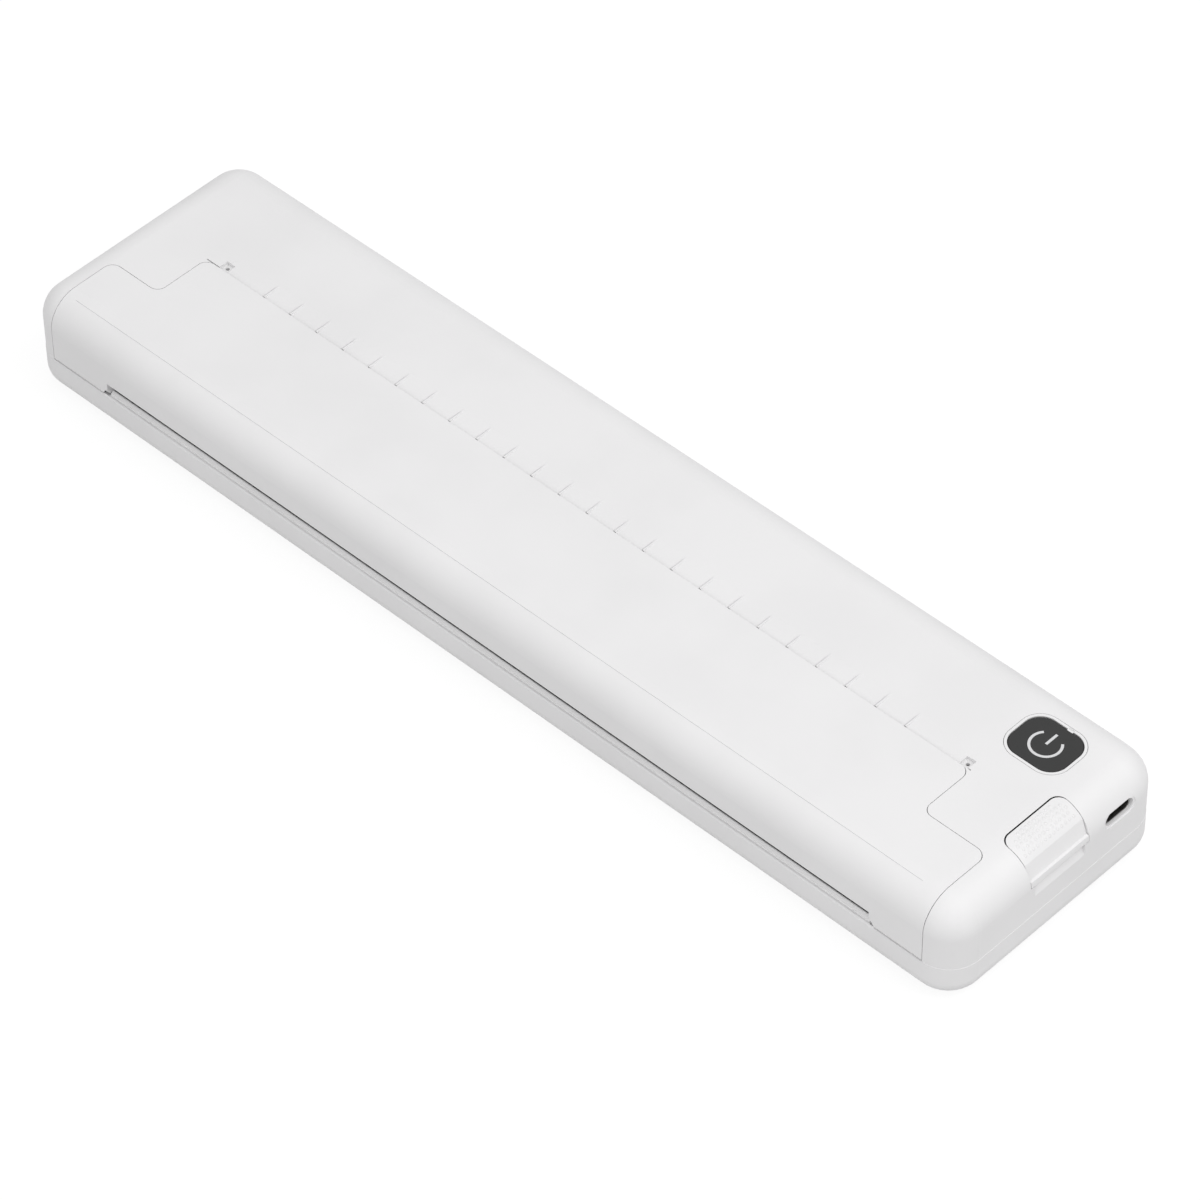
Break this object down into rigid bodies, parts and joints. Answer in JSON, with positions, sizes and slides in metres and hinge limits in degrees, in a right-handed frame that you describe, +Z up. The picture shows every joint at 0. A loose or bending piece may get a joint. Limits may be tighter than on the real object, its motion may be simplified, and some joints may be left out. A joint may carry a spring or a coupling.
{
  "type": "portable thermal printer for A4 sheets",
  "caption": "Slim white portable thermal printer for A4 sheets, with a front cover that hinges forward, a finger latch, a dark power button and a ruler along the paper slit",
  "frame": {"origin": "centre of the footprint on the surface that the rubber feet stand on", "axes": "+X along the bar to the end with the power button, latch and port; -Y to the front with the paper slot; +Z up"},
  "size_m": [0.3326, 0.0796, 0.0318],
  "materials": {
    "white_shell": "fine satin moulding",
    "dark_button": "satin",
    "black_plastic": "satin",
    "gear_plastic": "smooth",
    "brass": "turned",
    "steel": "rolled and turned",
    "platen_rubber": "ground",
    "foot_rubber": "matt",
    "aluminium": "extruded",
    "ceramic": "glazed",
    "circuit_board": "solder mask",
    "chip_black": "moulded",
    "cell_wrap": "shrink film",
    "light_guide": "clear"
  },
  "bodies": {
    "case": {"lower_case": "white_shell", "upper_housing": "white_shell", "hinge_pins": "steel", "gear_axles": "steel", "gear_bracket": "steel", "stepper_motor": "steel", "head_pivot_pins": "steel", "head_bracket": "steel", "head_springs": "steel", "lower_paper_guide": "black_plastic", "paper_sensor": "chip_black", "latch_pin": "steel", "latch_spring": "steel", "button_bezel": "white_shell", "status_light": "light_guide", "port_board": "circuit_board", "tact_switch": "chip_black", "usb_c_receptacle": "steel", "main_board": "circuit_board", "board_chips": "chip_black", "battery_cells": "cell_wrap", "battery_holder": "black_plastic", "rubber_feet": "foot_rubber", "case_screws": "steel"},
    "cover": {"front_cover": "white_shell", "cover_frame": "black_plastic", "platen_bushes": "gear_plastic"},
    "platen": {"platen_shaft": "steel", "platen_rubber": "platen_rubber", "platen_gear": "gear_plastic"},
    "front_idler": {"front_idler_gear": "gear_plastic"},
    "rear_idler": {"rear_idler_gear": "gear_plastic"},
    "pinion": {"motor_pinion": "brass"},
    "latch": {"release_latch": "white_shell"},
    "bar": {"latch_bar": "black_plastic"},
    "button": {"power_button": "dark_button"},
    "head": {"thermal_head": "ceramic", "head_driver_cover": "black_plastic", "head_heatsink": "aluminium"}
  },
  "joints": [
    {"name": "cover_hinge", "type": "hinge", "parent": "case", "child": "cover", "pos_m": [0, -0.0375, 0.01405], "axis": [1, 0, 0], "range_deg": [0, 90]},
    {"name": "platen_spin", "type": "hinge", "parent": "cover", "child": "platen", "pos_m": [-0.0018, -0.005, 0.0205], "axis": [1, 0, 0], "continuous": true},
    {"name": "front_idler_spin", "type": "hinge", "parent": "case", "child": "front_idler", "pos_m": [-0.1221, -0.005, 0.0102], "axis": [1, 0, 0], "continuous": true},
    {"name": "rear_idler_spin", "type": "hinge", "parent": "case", "child": "rear_idler", "pos_m": [-0.1221, 0.00573, 0.01209], "axis": [1, 0, 0], "continuous": true},
    {"name": "pinion_spin", "type": "hinge", "parent": "case", "child": "pinion", "pos_m": [-0.1221, 0.01485, 0.01541], "axis": [1, 0, 0], "continuous": true},
    {"name": "latch_lift", "type": "hinge", "parent": "case", "child": "latch", "pos_m": [0.1594, 0, 0.0268], "axis": [0, -1, 0], "range_deg": [0, 14]},
    {"name": "bar_slide", "type": "slide", "parent": "case", "child": "bar", "axis": [1, 0, 0], "range_m": [0, 0.00536], "stiffness_N_per_m": 4, "springref_m": -0.005},
    {"name": "button_press", "type": "slide", "parent": "case", "child": "button", "axis": [0, 0, -1], "range_m": [0, 0.0006], "stiffness_N_per_m": 500, "springref_m": -0.0002},
    {"name": "head_rock", "type": "hinge", "parent": "case", "child": "head", "pos_m": [-0.0018, 0.0038, 0.01], "axis": [1, 0, 0], "range_deg": [-1.5, 0], "stiffness_Nm_per_rad": 2, "springref_deg": 1.15}
  ],
  "couplings": [
    {"joint": "front_idler_spin", "follows": "platen_spin", "ratio": -1.125},
    {"joint": "rear_idler_spin", "follows": "platen_spin", "ratio": 0.9},
    {"joint": "pinion_spin", "follows": "platen_spin", "ratio": -1.5},
    {"joint": "latch_lift", "follows": "bar_slide", "rad_per_m": 45.621}
  ]
}
